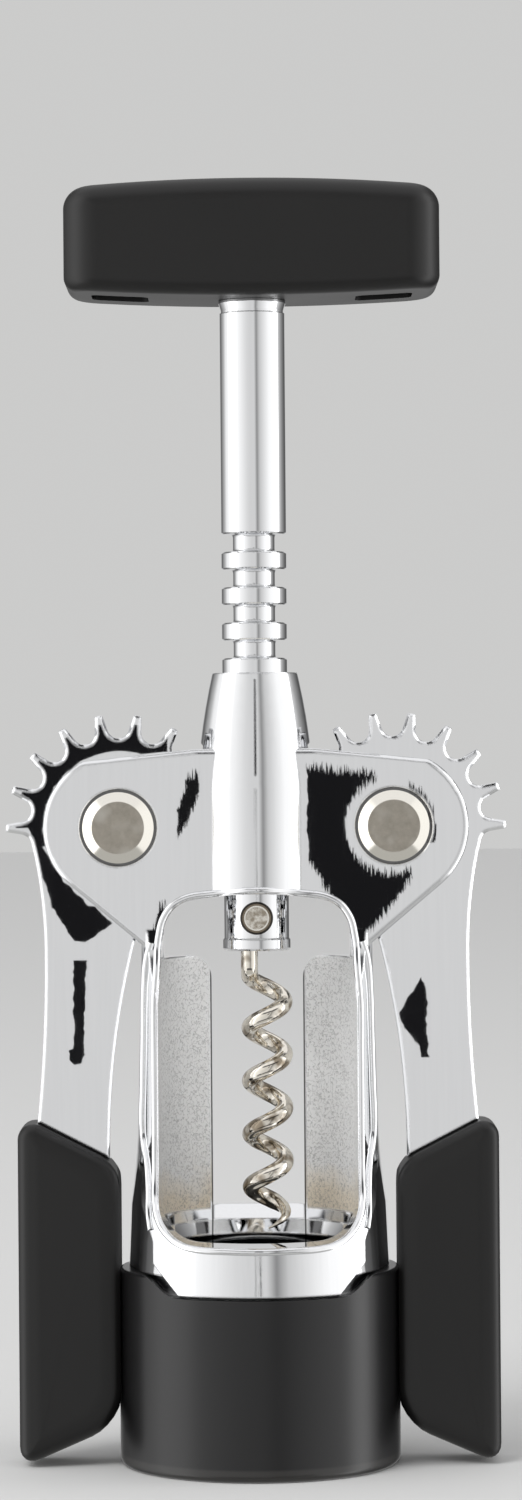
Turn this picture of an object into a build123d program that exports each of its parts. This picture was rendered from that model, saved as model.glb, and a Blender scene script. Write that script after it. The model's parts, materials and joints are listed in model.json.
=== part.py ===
"""Wing corkscrew: two geared wings lift a grooved spindle that carries a wire worm.

Millimetres. +Z is up and the front faces -Y. The origin is on the spindle's axis, on the
plane that the bell stands on. The wings hang down, with the spindle at the top of its travel.
"""
import math
import os

from build123d import *

os.makedirs("parts", exist_ok=True)

# ---- fits -------------------------------------------------------------------------------
running_gap = 0.05  # radial, a pin or shaft that turns or slides in its hole
seat_gap = 0.02  # radial, a piece that is pressed or moulded into its seat
side_gap = 0.3  # each side of a wing between the ear plates
nest_gap = 0.3  # between a grip and the sleeve that it rests beside

# ---- gear sectors and rack --------------------------------------------------------------
rack_pitch = 5.3
full_circle_teeth = 18
tooth_pitch_angle = 360 / full_circle_teeth
gear_pitch_r = rack_pitch * full_circle_teeth / (2 * math.pi)
sector_teeth = 10  # the first points at the spindle, the last straight outboard
tooth_addendum = 1.75
tooth_dedendum = 1.85
tooth_tip_width = 1.15
tooth_tip_crown = 0.08
tooth_gap_r = 1.66  # the round floor of the gap between two teeth
tooth_gap_arc = 70  # how far that floor runs up each flank
gear_tip_r = gear_pitch_r + tooth_addendum
gear_root_r = gear_pitch_r - tooth_dedendum
pivot_x = 20.5
pivot_z = 95.25

# ---- spindle ----------------------------------------------------------------------------
spindle_r = 4.9
groove_core_r = 3.15
groove_width = 2.65
groove_root_fillet = 0.55
groove_edge_chamfer = 0.25
grooves_above_pivot = 8
grooves_below_pivot = 1
holder_end_z = 76.7
holder_lip = 0.2  # how far the holder's turned lip stands proud of it
holder_lip_length = 1.9
holder_lip_chamfer = 0.3

# ---- worm -------------------------------------------------------------------------------
wire_d = 2.55
coil_r = 2.58
coil_pitch = 7.94
coil_turns = 4.75
point_turns = 0.45
point_r = 0.12
worm_tip_z = 35.2
coil_offset_x = 1.45  # the coil stands to one side, so that its shank is near the axis
bend_r = 2.2
shank_bore_depth = 11.0
worm_pin_d = 4.3
worm_pin_z = 81.6

# ---- casting: ear plates, neck and slots ------------------------------------------------
wing_half_thickness = 2.5
ear_half_depth = 6.0
ear_lobe_r = 11.2
ear_corner_angle = 62
ear_lower_angle = -50
ear_corner_fillet = 2.0
ear_edge_fillet = 0.8
ear_overlap = 3.0  # how far the ears reach down into the cage's wall
deck_z = 106.9
tooth_room = 0.6  # outside the tips, in the slots that the gear sectors turn in
neck_top_z = 118.2
neck_overlap = 2.0  # how far the neck reaches down past the arch's crown
neck_top_r = 6.4
neck_middle_r = 7.25
neck_middle_z = 114.2
neck_root_r = 8.8
neck_flare_z = 101.0
bush_wall = 0.75
bush_length = 11.0
bush_recess = 0.2  # below the neck's rim

# ---- casting: cage ----------------------------------------------------------------------
cage_bore_r = 14.7
cage_top_r = 17.45
cage_foot_r = 18.1
cage_foot_z = 49.0
cage_top_z = 76.0  # where the legs meet the ears
cage_foot_bow = 0.12  # how hollow the blend into the bell is
arch_z = 85.3
arch_corner = (11.1, 84.0)
arch_corner_bow = 0.9
arch_corner_angle = 40
arch_spring = (14.0, 79.0)
arch_foot_z = 69.0
window_foot_z = 34.2
window_corner_r = 6.0
rear_wall_top_z = 75.4
rear_window_half = 7.0
rear_window_foot_z = 34.9
rear_window_corner_r = 3.5
rear_sill_rise = 1.9
relief_y = 10.7
relief_z = 68.0
relief_top_z = 80.0
relief_run = 2.0  # how far that cut goes on above the arch
relief_bow = (0.6, 0.4)

# ---- bell -------------------------------------------------------------------------------
sleeve_r = 21.0
sleeve_wall = 2.4
sleeve_top_z = 29.4
sleeve_rim_fillet = 0.5
skirt_wall = 1.9
skirt_foot_z = 2.4
liner_wall = 1.5
ledge_width = 2.0
ledge_z = 29.3
ledge_thickness = 3.6
sill_rise = 1.9
shoulder_step = 1.5  # from the sleeve's side in to the bell's shoulder
shoulder_taper = 0.4
shoulder_waist_z = 39.0
foot_flange = 1.9
foot_edge_r = 1.2
liner_top_gap = 0.6
mouth_fillet = 0.8
band_sink = 0.05  # below the sleeve's side
band_taper = 0.6
band_half = 15.6
band_foot_z = 26.7
band_side_z = 34.5
band_blend_z = 38.0
band_shoulder_z = 39.5
band_shoulder_half = 17.3
band_top_z = 53.0
band_top_half = 18.0
band_top_bow = 0.45
band_corner = (4.0, 4.6)  # across and up, of the slanted lower corners
band_room = 0.15
band_edge = 0.4
notch_bend = (0.75, 1.45)
notch_shoulder = 2.2
band_root_r = 16.0  # inside the cage's wall
band_tuck = 0.3  # how far the band's top edge ends inside that wall

# ---- pins -------------------------------------------------------------------------------
pin_r = 2.5
pin_tail_r = 2.0
pin_head_r = 5.3
pin_flat_r = 3.9
pin_head_height = 1.3
pin_head_bevel = 0.9
pin_seat_depth = 0.3
pin_seat_room = 0.5

# ---- wings and grips --------------------------------------------------------------------
wing_edge_chamfer = 0.4
arm_outer_x = 31.75
arm_outer_z = 77.3
arm_neck_bow = 0.35
arm_middle_outer = (31.95, 65.5)
arm_middle_inner = (20.65, 66.5)
arm_shoulder_angle = -17
arm_root_angle = -105
arm_end_outer = (33.0, 51.15)
arm_end_inner = (22.2, 45.6)
tang_x = (25.2, 31.2)
tang_foot_z = 14.0
tang_root = 8.0  # how far the tang's root reaches up into the arm
tang_half_thickness = 1.8
grip_half_depth = 6.0
grip_outer_x = 35.9
grip_outer_foot_z = 2.4
grip_top_round = 1.2
grip_inner_x = 20.4
grip_inner_top_z = 39.5
grip_inner_foot_z = 11.5
grip_inner_bend = (20.95, 43.6)
grip_heel_bend = (21.5, 7.6)
grip_heel = (23.9, 5.0)
grip_toe = (33.9, 0.35)
grip_toe_bend = (35.3, 0.9)
grip_edge_fillet = 1.6

# ---- handle -----------------------------------------------------------------------------
handle_half = 27.95
handle_half_depth = 11.0
handle_foot_z = 174.0
handle_lower_height = 9.0
handle_upper_height = 8.5
handle_crown = 1.3
handle_foot_crown = 1.0
handle_plan_fillet = 5.0
handle_top_fillet = 3.4
handle_foot_fillet = 2.2
pocket_x = (15.5, 24.0)
pocket_half_depth = 3.6
pocket_height = 6.0
pocket_corner_r = 1.2
core_half = 6.5
core_height = 9.0
core_floor = 2.0  # the floor of the lower shell below the core
square_half = 2.7
spindle_neck_r = 3.9
collar_height = 1.9
collar_r = 5.02
collar_waist_r = 4.7
collar_step = 0.4
screw_r = 2.0
screw_head_r = 3.8
screw_head_height = 3.0
screw_length = 12.0
washer_r = 4.6
washer_thickness = 0.8
hex_socket_r = 1.7
hex_socket_depth = 1.8

# ---- places worked out from the sizes above ---------------------------------------------
slot_half = wing_half_thickness + side_gap
slot_r = gear_tip_r + tooth_room
bush_r = spindle_r + running_gap + bush_wall
ear_root_x = math.sqrt(cage_top_r**2 - ear_half_depth**2)  # on the cage's wall
slope = (cage_foot_r - cage_top_r) / (cage_top_z - cage_foot_z)
cage_waist_r = cage_top_r + slope * (cage_top_z - band_top_z) - band_tuck
skirt_r = sleeve_r - sleeve_wall
skirt_bore_r = skirt_r - skirt_wall
bottle_bore_r = skirt_bore_r - liner_wall
cork_hole_r = bottle_bore_r - ledge_width
shoulder_r = sleeve_r - shoulder_step
shoulder_waist_r = shoulder_r - shoulder_taper
band_foot_r = sleeve_r - band_sink
band_blend_r = band_foot_r - band_taper
sill_z = ledge_z + ledge_thickness
head_face = ear_half_depth - pin_seat_depth
head_top = head_face + pin_head_height
collar_foot_z = handle_foot_z - collar_height
shoulder_z = collar_foot_z - running_gap
handle_split_z = handle_foot_z + handle_lower_height
handle_top_z = handle_split_z + handle_upper_height
square_foot_z = handle_foot_z + core_floor
core_top_z = square_foot_z + core_height
washer_z = core_top_z
square_top_z = core_top_z - side_gap
screw_head_z = washer_z + washer_thickness
coil_top_z = worm_tip_z + coil_turns * coil_pitch
lead_angle = math.atan2(coil_pitch, 2 * math.pi * coil_r)
bend_rise = bend_r * math.cos(lead_angle)
bend_reach = bend_r * (1 - math.sin(lead_angle))
shank_x = coil_offset_x - coil_r
shank_y = -bend_reach
shank_top_z = holder_end_z + shank_bore_depth


def polar(radius, angle, centre=(0, 0)):
    """The point at a radius and an angle in degrees from a centre."""
    turn = math.radians(angle)
    return (centre[0] + radius * math.cos(turn), centre[1] + radius * math.sin(turn))


def mid_point(first, second):
    """The point halfway between two points."""
    return ((first[0] + second[0]) / 2, (first[1] + second[1]) / 2)


def turned(point, angle, centre):
    """A point turned by an angle in degrees about the origin, then carried to a centre."""
    return polar(math.hypot(*point), math.degrees(math.atan2(point[1], point[0])) + angle, centre)


def at_side(side, point):
    """A point of the right-hand side, or its mirror image on the left-hand side."""
    return (side * point[0], point[1])


def draw_arch_crown():
    """Draw the right half of the arch, from its spring to the middle of its crown."""
    ThreePointArc(
        arch_spring,
        polar(arch_corner_bow, arch_corner_angle, mid_point(arch_spring, arch_corner)),
        arch_corner,
    )
    ThreePointArc(
        arch_corner,
        (arch_corner[0] / 2, arch_z - (arch_z - arch_corner[1]) / 4),
        (0, arch_z),
    )


# ---- frame ------------------------------------------------------------------------------
# The space inside the cage: round behind, open to the front, and an arch right through on top.
with BuildPart() as cage_space:
    with BuildSketch(Plane.XZ):
        with BuildLine():
            Polyline(
                (0, ledge_z),
                (cork_hole_r, ledge_z),
                (cork_hole_r, sill_z),
                (cage_bore_r, sill_z + sill_rise),
                (cage_bore_r, arch_foot_z),
                arch_spring,
                (0, arch_spring[1]),
                close=True,
            )
        make_face()
    revolve(axis=Axis.Z)
    with BuildSketch(Plane.XZ):
        with BuildLine():
            Line((0, arch_z), (0, window_foot_z))
            Line((0, window_foot_z), (cage_bore_r - window_corner_r, window_foot_z))
            ThreePointArc(
                (cage_bore_r - window_corner_r, window_foot_z),
                polar(
                    window_corner_r,
                    -45,
                    (cage_bore_r - window_corner_r, window_foot_z + window_corner_r),
                ),
                (cage_bore_r, window_foot_z + window_corner_r),
            )
            Polyline(
                (cage_bore_r, window_foot_z + window_corner_r),
                (cage_bore_r, arch_foot_z),
                arch_spring,
            )
            draw_arch_crown()
        make_face()
        mirror(about=Plane.YZ)
    extrude(amount=sleeve_r)
    with BuildSketch(Plane.XZ):
        with BuildLine():
            Polyline(
                (0, arch_z),
                (0, rear_wall_top_z),
                (arch_spring[0], rear_wall_top_z),
                arch_spring,
            )
            draw_arch_crown()
        make_face()
        mirror(about=Plane.YZ)
    extrude(amount=-sleeve_r)

# The front band: a piece of a cone with slanted lower corners.
with BuildPart() as front_band:
    with BuildSketch(Plane.XZ):
        with BuildLine():
            Polyline(
                (0, band_foot_z),
                (band_half - band_corner[0], band_foot_z),
                (band_half, band_foot_z + band_corner[1]),
                (band_half, band_side_z),
                (band_shoulder_half, band_shoulder_z),
                (band_top_half, cage_foot_z),
                (band_top_half, band_top_z),
                (0, band_top_z),
                close=True,
            )
        make_face()
        mirror(about=Plane.YZ)
    extrude(amount=sleeve_r + 1)
    with BuildSketch(Plane.XZ):
        with BuildLine():
            Polyline(
                (band_root_r, band_foot_z),
                (band_foot_r - band_edge, band_foot_z),
                (band_foot_r, band_foot_z + band_edge),
                (band_blend_r, band_blend_z),
            )
            ThreePointArc(
                (band_blend_r, band_blend_z),
                (
                    (band_blend_r + cage_waist_r) / 2 - band_top_bow,
                    (band_blend_z + band_top_z) / 2 - band_top_bow,
                ),
                (cage_waist_r, band_top_z),
            )
            Polyline(
                (cage_waist_r, band_top_z),
                (band_root_r, band_top_z),
                (band_root_r, band_foot_z),
            )
        make_face()
    revolve(axis=Axis.Z, mode=Mode.INTERSECT)

# The two ear plates, before their slot is cut.
with BuildPart() as ears:
    pivot = (pivot_x, pivot_z)
    lobe_corner = polar(ear_lobe_r, ear_corner_angle, pivot)
    lobe_foot = polar(ear_lobe_r, ear_lower_angle, pivot)
    with BuildSketch(Plane.XZ):
        with BuildLine():
            Line((0, deck_z), (neck_root_r, deck_z))
            Line((neck_root_r, deck_z), lobe_corner)
            ThreePointArc(lobe_corner, polar(ear_lobe_r, 0, pivot), lobe_foot)
            run = (lobe_foot[0] - ear_root_x) / math.sin(math.radians(-ear_lower_angle))
            ear_root_z = lobe_foot[1] - run * math.cos(math.radians(ear_lower_angle))
            Line(lobe_foot, (ear_root_x, ear_root_z))
            ear_foot_z = cage_top_z - ear_overlap
            Polyline((ear_root_x, ear_root_z), (ear_root_x, ear_foot_z), (0, ear_foot_z))
            Line((0, ear_foot_z), (0, deck_z))
        make_face()
        mirror(about=Plane.YZ)
    extrude(amount=ear_half_depth, both=True)
    lobe_corners = [
        edge
        for edge in ears.edges().filter_by(Axis.Y)
        if edge.center().Z > pivot_z + ear_lobe_r / 2 and abs(edge.center().X) > pivot_x
    ]
    fillet(lobe_corners, ear_corner_fillet)
    face_edges = ears.faces().filter_by(Axis.Y).edges()
    fillet(face_edges.sort_by(Axis.Z)[2:], ear_edge_fillet)

with BuildPart() as frame:
    # bell shoulder and cage: one turned outline
    with BuildSketch(Plane.XZ):
        with BuildLine():
            Polyline((0, skirt_foot_z), (skirt_r, skirt_foot_z), (skirt_r, sleeve_top_z))
            Line((skirt_r, sleeve_top_z), (shoulder_r, sleeve_top_z))
            Line((shoulder_r, sleeve_top_z), (shoulder_waist_r, shoulder_waist_z))
            ThreePointArc(
                (shoulder_waist_r, shoulder_waist_z),
                (
                    (shoulder_waist_r + cage_foot_r) / 2 - cage_foot_bow,
                    (shoulder_waist_z + cage_foot_z) / 2,
                ),
                (cage_foot_r, cage_foot_z),
            )
            Polyline(
                (cage_foot_r, cage_foot_z),
                (cage_top_r, cage_top_z),
                (cage_top_r, arch_z),
                (0, arch_z),
                (0, skirt_foot_z),
            )
        make_face()
    revolve(axis=Axis.Z)
    # the cage's rims run back to the thin ears, in front and behind
    with BuildSketch(Plane.YZ):
        for hand, run_z in ((-1, relief_z), (1, rear_wall_top_z)):
            with BuildLine():
                Line((hand * sleeve_r, run_z), (hand * relief_y, run_z))
                ThreePointArc(
                    (hand * relief_y, run_z),
                    (
                        hand * ((relief_y + ear_half_depth) / 2 - relief_bow[0]),
                        (run_z + relief_top_z) / 2 - relief_bow[1],
                    ),
                    (hand * ear_half_depth, relief_top_z),
                )
                Polyline(
                    (hand * ear_half_depth, relief_top_z),
                    (hand * ear_half_depth, arch_z + relief_run),
                    (hand * sleeve_r, arch_z + relief_run),
                    (hand * sleeve_r, run_z),
                )
            make_face()
    extrude(amount=sleeve_r, both=True, mode=Mode.SUBTRACT)
    add(ears.part)
    add(front_band.part)
    # neck
    with BuildSketch(Plane.XZ):
        with BuildLine():
            neck_foot_z = arch_z - neck_overlap
            Polyline((0, neck_foot_z), (neck_root_r, neck_foot_z), (neck_root_r, neck_flare_z))
            ThreePointArc(
                (neck_root_r, neck_flare_z),
                (neck_middle_r, neck_middle_z),
                (neck_top_r, neck_top_z),
            )
            Polyline((neck_top_r, neck_top_z), (0, neck_top_z), (0, neck_foot_z))
        make_face()
    revolve(axis=Axis.Z)
    add(cage_space.part, mode=Mode.SUBTRACT)
    # rear window: open at the top, with a sloping sill
    with BuildSketch(Plane.XZ):
        with BuildLine():
            corner_x = rear_window_half + rear_window_corner_r
            corner_z = rear_wall_top_z - rear_window_corner_r
            Polyline((0, rear_wall_top_z + 1), (0, rear_window_foot_z + rear_sill_rise))
            Line(
                (0, rear_window_foot_z + rear_sill_rise),
                (rear_window_half, rear_window_foot_z + rear_sill_rise),
            )
            Line(
                (rear_window_half, rear_window_foot_z + rear_sill_rise),
                (rear_window_half, corner_z),
            )
            ThreePointArc(
                (rear_window_half, corner_z),
                polar(rear_window_corner_r, 135, (corner_x, corner_z)),
                (corner_x, rear_wall_top_z),
            )
            Polyline(
                (corner_x, rear_wall_top_z),
                (corner_x, rear_wall_top_z + 1),
                (0, rear_wall_top_z + 1),
            )
        make_face()
        mirror(about=Plane.YZ)
    extrude(amount=-sleeve_r, mode=Mode.SUBTRACT)
    with BuildSketch(Plane.YZ):
        with BuildLine():
            Polyline(
                (cage_bore_r - 2, rear_window_foot_z),
                (cage_bore_r, rear_window_foot_z),
                (cage_foot_r + 1, rear_window_foot_z + rear_sill_rise * 1.3),
                (cage_bore_r - 2, rear_window_foot_z + rear_sill_rise * 1.3),
                close=True,
            )
        make_face()
    extrude(amount=rear_window_half, both=True, mode=Mode.SUBTRACT)
    # room for the bottle liner under the ledge
    with BuildSketch(Plane.XY.offset(skirt_foot_z)):
        Circle(skirt_bore_r)
    extrude(amount=ledge_z - skirt_foot_z, mode=Mode.SUBTRACT)
    # slots for the gear sectors
    with BuildSketch(Plane.XZ):
        with Locations((-pivot_x, pivot_z), (pivot_x, pivot_z)):
            Circle(slot_r)
    extrude(amount=slot_half, both=True, mode=Mode.SUBTRACT)
    # bore for the spindle and seat for its bush
    with BuildSketch(Plane.XY.offset(arch_z - 1)):
        Circle(spindle_r + side_gap)
    extrude(amount=neck_top_z - arch_z + 2, mode=Mode.SUBTRACT)
    with BuildSketch(Plane.XY.offset(neck_top_z - bush_length)):
        Circle(bush_r + seat_gap)
    extrude(amount=bush_length + 1, mode=Mode.SUBTRACT)
    # pin holes and the shallow seats of the pin heads
    for ear_side in (-1, 1):
        with BuildSketch(Plane.XZ):
            with Locations((ear_side * pivot_x, pivot_z)):
                Circle(pin_r + seat_gap)
        extrude(amount=ear_half_depth + 1, both=True, mode=Mode.SUBTRACT)
        for face_side in (-1, 1):
            seat_plane = Plane.XZ.offset(face_side * (ear_half_depth - pin_seat_depth))
            with BuildSketch(seat_plane):
                with Locations((ear_side * pivot_x, pivot_z)):
                    Circle(pin_head_r + pin_seat_room)
            extrude(amount=face_side * pin_seat_depth * 2, mode=Mode.SUBTRACT)
frame.part.label = "frame"
export_step(frame.part, "parts/frame.step")

# ---- guide bush -------------------------------------------------------------------------
with BuildPart() as guide_bush:
    with BuildSketch(Plane.XY.offset(neck_top_z - bush_length)):
        Circle(bush_r)
        Circle(spindle_r + running_gap, mode=Mode.SUBTRACT)
    extrude(amount=bush_length - bush_recess)
guide_bush.part.label = "guide_bush"
export_step(guide_bush.part, "parts/guide_bush.step")

# ---- bell sleeve ------------------------------------------------------------------------
with BuildPart() as bell_sleeve:
    with BuildSketch(Plane.XY.offset(foot_flange)):
        Circle(sleeve_r)
        Circle(skirt_r + seat_gap, mode=Mode.SUBTRACT)
    extrude(amount=sleeve_top_z - foot_flange)
    rims = bell_sleeve.edges().filter_by(GeomType.CIRCLE).group_by(Axis.Z)[-1]
    fillet(rims.sort_by(SortBy.RADIUS)[-1], sleeve_rim_fillet)
    with BuildSketch(Plane.XZ):
        with BuildLine():
            notch_half = band_half + band_room
            notch_foot_z = band_foot_z - band_room
            Line((0, notch_foot_z), (notch_half - band_corner[0], notch_foot_z))
            Spline(
                (notch_half - band_corner[0], notch_foot_z),
                (notch_half - notch_bend[0], notch_foot_z + notch_bend[1]),
                (notch_half + notch_shoulder, sleeve_top_z),
                tangents=((1, 0), (1, 0)),
            )
            Polyline(
                (notch_half + notch_shoulder, sleeve_top_z),
                (notch_half + notch_shoulder, band_side_z),
                (0, band_side_z),
                (0, notch_foot_z),
            )
        make_face()
        mirror(about=Plane.YZ)
    extrude(amount=sleeve_r + 1, mode=Mode.SUBTRACT)
bell_sleeve.part.label = "bell_sleeve"
export_step(bell_sleeve.part, "parts/bell_sleeve.step")

# ---- bell liner -------------------------------------------------------------------------
with BuildPart() as bell_liner:
    with BuildSketch(Plane.XY):
        Circle(sleeve_r)
    extrude(amount=foot_flange)
    fillet(bell_liner.edges().group_by(Axis.Z)[0], foot_edge_r)
    with BuildSketch(Plane.XY):
        Circle(skirt_bore_r - seat_gap)
    extrude(amount=ledge_z - liner_top_gap)
    with BuildSketch(Plane.XY):
        Circle(bottle_bore_r)
    extrude(amount=ledge_z, mode=Mode.SUBTRACT)
    mouth = bell_liner.edges().group_by(Axis.Z)[0].sort_by(SortBy.RADIUS)[0]
    fillet(mouth, mouth_fillet)
bell_liner.part.label = "bell_liner"
export_step(bell_liner.part, "parts/bell_liner.step")

# ---- wings: pin, cap, lever and grip on each side ---------------------------------------
# Half a tooth gap and half a tooth tip, on a gap or a tooth that points along +X.
gap_centre = (gear_root_r + tooth_gap_r, 0)
gap_floor = polar(tooth_gap_r, 180, gap_centre)
gap_bend = polar(tooth_gap_r, 180 - tooth_gap_arc / 2, gap_centre)
gap_wall = polar(tooth_gap_r, 180 - tooth_gap_arc, gap_centre)
tip_corner = (gear_tip_r - tooth_tip_crown, tooth_tip_width / 2)
tip_middle = (gear_tip_r, 0)

for side, side_name in ((-1, "left"), (1, "right")):
    axis_x = side * pivot_x

    with BuildPart() as pivot_pin:
        with BuildSketch(Plane.XY):
            with BuildLine():
                Polyline(
                    (0, head_top),
                    (pin_flat_r, head_top),
                    (pin_head_r, head_top - pin_head_bevel),
                    (pin_head_r, head_face),
                    (pin_r, head_face),
                    (pin_r, -head_face),
                    (pin_tail_r, -head_face),
                    (pin_tail_r, -head_top + pin_head_bevel),
                    (0, -head_top + pin_head_bevel),
                    close=True,
                )
            make_face()
        revolve(axis=Axis.Y)
    turned_pin = pivot_pin.part.rotate(Axis.Z, 180)
    with BuildPart() as pivot_pin:
        with Locations((axis_x, 0, pivot_z)):
            add(turned_pin)
    pivot_pin.part.label = f"{side_name}_pivot_pin"
    export_step(pivot_pin.part, f"parts/{side_name}_pivot_pin.step")

    with BuildPart() as turned_cap:
        with BuildSketch(Plane.XY):
            with BuildLine():
                Polyline(
                    (pin_tail_r + seat_gap, head_face),
                    (pin_head_r, head_face),
                    (pin_head_r, head_top - pin_head_bevel),
                    (pin_flat_r, head_top),
                    (0, head_top),
                    (0, head_top - pin_head_bevel + seat_gap),
                    (pin_tail_r + seat_gap, head_top - pin_head_bevel + seat_gap),
                    close=True,
                )
            make_face()
        revolve(axis=Axis.Y)
    with BuildPart() as pin_cap:
        with Locations((axis_x, 0, pivot_z)):
            add(turned_cap.part)
    pin_cap.part.label = f"{side_name}_pin_cap"
    export_step(pin_cap.part, f"parts/{side_name}_pin_cap.step")

    with BuildPart() as lever:
        with BuildSketch(Plane.XZ):
            half_gap = tooth_pitch_angle / 2
            first_floor_angle = 180 + half_gap
            last_floor_angle = 180 - tooth_pitch_angle * (sector_teeth - 1) - half_gap
            with BuildLine():
                for tooth in range(sector_teeth):
                    tooth_angle = 180 - tooth * tooth_pitch_angle
                    for hand in (1, -1):
                        floor, bend, wall, corner = (
                            turned((x, -hand * y), angle, (pivot_x, pivot_z))
                            for x, y, angle in (
                                (*gap_floor, tooth_angle + hand * half_gap),
                                (*gap_bend, tooth_angle + hand * half_gap),
                                (*gap_wall, tooth_angle + hand * half_gap),
                                (tip_corner[0], -tip_corner[1], tooth_angle),
                            )
                        )
                        ThreePointArc(*(at_side(side, point) for point in (floor, bend, wall)))
                        Line(at_side(side, wall), at_side(side, corner))
                    tip = [
                        turned((x, y), tooth_angle, (pivot_x, pivot_z))
                        for x, y in (
                            tip_corner,
                            tip_middle,
                            (tip_corner[0], -tip_corner[1]),
                        )
                    ]
                    ThreePointArc(*(at_side(side, point) for point in tip))
                pivot = (pivot_x, pivot_z)
                last_floor = polar(gear_root_r, last_floor_angle, pivot)
                above_shoulder = polar(
                    gear_root_r, (last_floor_angle + arm_shoulder_angle) / 2, pivot
                )
                shoulder = polar(gear_root_r, arm_shoulder_angle, pivot)
                arm_neck = (
                    (shoulder[0] + arm_outer_x) / 2 - arm_neck_bow,
                    (shoulder[1] + arm_outer_z) / 2,
                )
                inner_root = polar(gear_root_r, arm_root_angle, pivot)
                hub_low = polar(
                    gear_root_r, (arm_root_angle + 360 + first_floor_angle) / 2, pivot
                )
                first_floor = polar(gear_root_r, first_floor_angle, pivot)
                for arc in (
                    (last_floor, above_shoulder, shoulder),
                    (shoulder, arm_neck, (arm_outer_x, arm_outer_z)),
                    ((arm_outer_x, arm_outer_z), arm_middle_outer, arm_end_outer),
                    (arm_end_inner, arm_middle_inner, inner_root),
                    (inner_root, hub_low, first_floor),
                ):
                    ThreePointArc(*(at_side(side, point) for point in arc))
                Line(at_side(side, arm_end_outer), at_side(side, arm_end_inner))
            make_face()
        extrude(amount=wing_half_thickness, both=True)
        chamfer(lever.faces().filter_by(Axis.Y).edges(), wing_edge_chamfer)
        with BuildSketch(Plane.XZ):
            with BuildLine():
                Polyline(
                    (side * tang_x[0], arm_end_inner[1] + tang_root),
                    (side * tang_x[1], arm_end_inner[1] + tang_root),
                    (side * tang_x[1], tang_foot_z),
                    (side * tang_x[0], tang_foot_z),
                    close=True,
                )
            make_face()
        extrude(amount=tang_half_thickness, both=True)
        with BuildSketch(Plane.XZ):
            with Locations((axis_x, pivot_z)):
                Circle(pin_r + running_gap)
        extrude(amount=wing_half_thickness + 1, both=True, mode=Mode.SUBTRACT)
    lever.part.label = f"{side_name}_lever"
    export_step(lever.part, f"parts/{side_name}_lever.step")

    with BuildPart() as grip:
        with BuildSketch(Plane.XZ):
            with BuildLine():
                corners = [
                    (side * x, z)
                    for x, z in (
                        (grip_outer_x, grip_outer_foot_z),
                        (grip_outer_x, arm_end_outer[1] - grip_top_round),
                        (grip_outer_x - grip_top_round, arm_end_outer[1]),
                        arm_end_outer,
                        arm_end_inner,
                        grip_inner_bend,
                        (grip_inner_x, grip_inner_top_z),
                        (grip_inner_x, grip_inner_foot_z),
                        grip_heel_bend,
                        grip_heel,
                        grip_toe,
                        grip_toe_bend,
                    )
                ]
                Polyline(*corners[0:5])
                ThreePointArc(corners[4], corners[5], corners[6])
                Line(corners[6], corners[7])
                ThreePointArc(corners[7], corners[8], corners[9])
                Line(corners[9], corners[10])
                ThreePointArc(corners[10], corners[11], corners[0])
            make_face()
        extrude(amount=grip_half_depth, both=True)
        fillet(grip.faces().filter_by(Axis.Y).edges(), grip_edge_fillet)
        with BuildSketch(Plane.XZ):
            with BuildLine():
                Polyline(
                    (side * (tang_x[0] - seat_gap), arm_end_inner[1] + tang_root),
                    (side * (tang_x[1] + seat_gap), arm_end_inner[1] + tang_root),
                    (side * (tang_x[1] + seat_gap), tang_foot_z - seat_gap),
                    (side * (tang_x[0] - seat_gap), tang_foot_z - seat_gap),
                    close=True,
                )
            make_face()
        extrude(amount=tang_half_thickness + seat_gap, both=True, mode=Mode.SUBTRACT)
        with BuildSketch(Plane.XY):
            Circle(sleeve_r + nest_gap)
        extrude(amount=arm_end_outer[1], mode=Mode.SUBTRACT)
    grip.part.label = f"{side_name}_grip"
    export_step(grip.part, f"parts/{side_name}_grip.step")

# ---- spindle ----------------------------------------------------------------------------
with BuildPart() as spindle:
    with BuildSketch(Plane.XZ):
        with BuildLine():
            lip_r = spindle_r + holder_lip
            Polyline(
                (0, holder_end_z),
                (lip_r - holder_lip_chamfer, holder_end_z),
                (lip_r, holder_end_z + holder_lip_chamfer),
                (lip_r, holder_end_z + holder_lip_length - holder_lip_chamfer),
                (spindle_r, holder_end_z + holder_lip_length),
                (spindle_r, shoulder_z),
                (spindle_neck_r, shoulder_z),
                (spindle_neck_r, square_foot_z),
                (0, square_foot_z),
                close=True,
            )
        make_face()
    revolve(axis=Axis.Z)
    with BuildSketch(Plane.XZ):
        for groove in range(-grooves_below_pivot, grooves_above_pivot + 1):
            with Locations((spindle_r, pivot_z + groove * rack_pitch)):
                RectangleRounded(
                    2 * (spindle_r - groove_core_r), groove_width, groove_root_fillet
                )
    revolve(axis=Axis.Z, mode=Mode.SUBTRACT)
    ridge_edges = [
        edge
        for edge in spindle.edges().filter_by(GeomType.CIRCLE)
        if abs(edge.radius - spindle_r) < running_gap
        and holder_end_z + holder_lip_length < edge.center().Z < shoulder_z
    ]
    chamfer(ridge_edges, groove_edge_chamfer)
    with BuildSketch(Plane.XY.offset(square_foot_z)):
        Rectangle(2 * square_half, 2 * square_half)
    extrude(amount=square_top_z - square_foot_z)
    with BuildSketch(Plane.XY.offset(square_top_z - screw_length)):
        Circle(screw_r + seat_gap)
    extrude(amount=screw_length + 1, mode=Mode.SUBTRACT)
    with BuildSketch(Plane.XY.offset(holder_end_z)):
        with Locations((shank_x, shank_y)):
            Circle(wire_d / 2 + seat_gap)
    extrude(amount=shank_bore_depth, mode=Mode.SUBTRACT)
    with BuildSketch(Plane.XZ.offset(-shank_y)):
        with Locations((0, worm_pin_z)):
            Circle(worm_pin_d / 2 + seat_gap)
    extrude(amount=spindle_r, mode=Mode.SUBTRACT)
spindle.part.label = "spindle"
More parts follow.
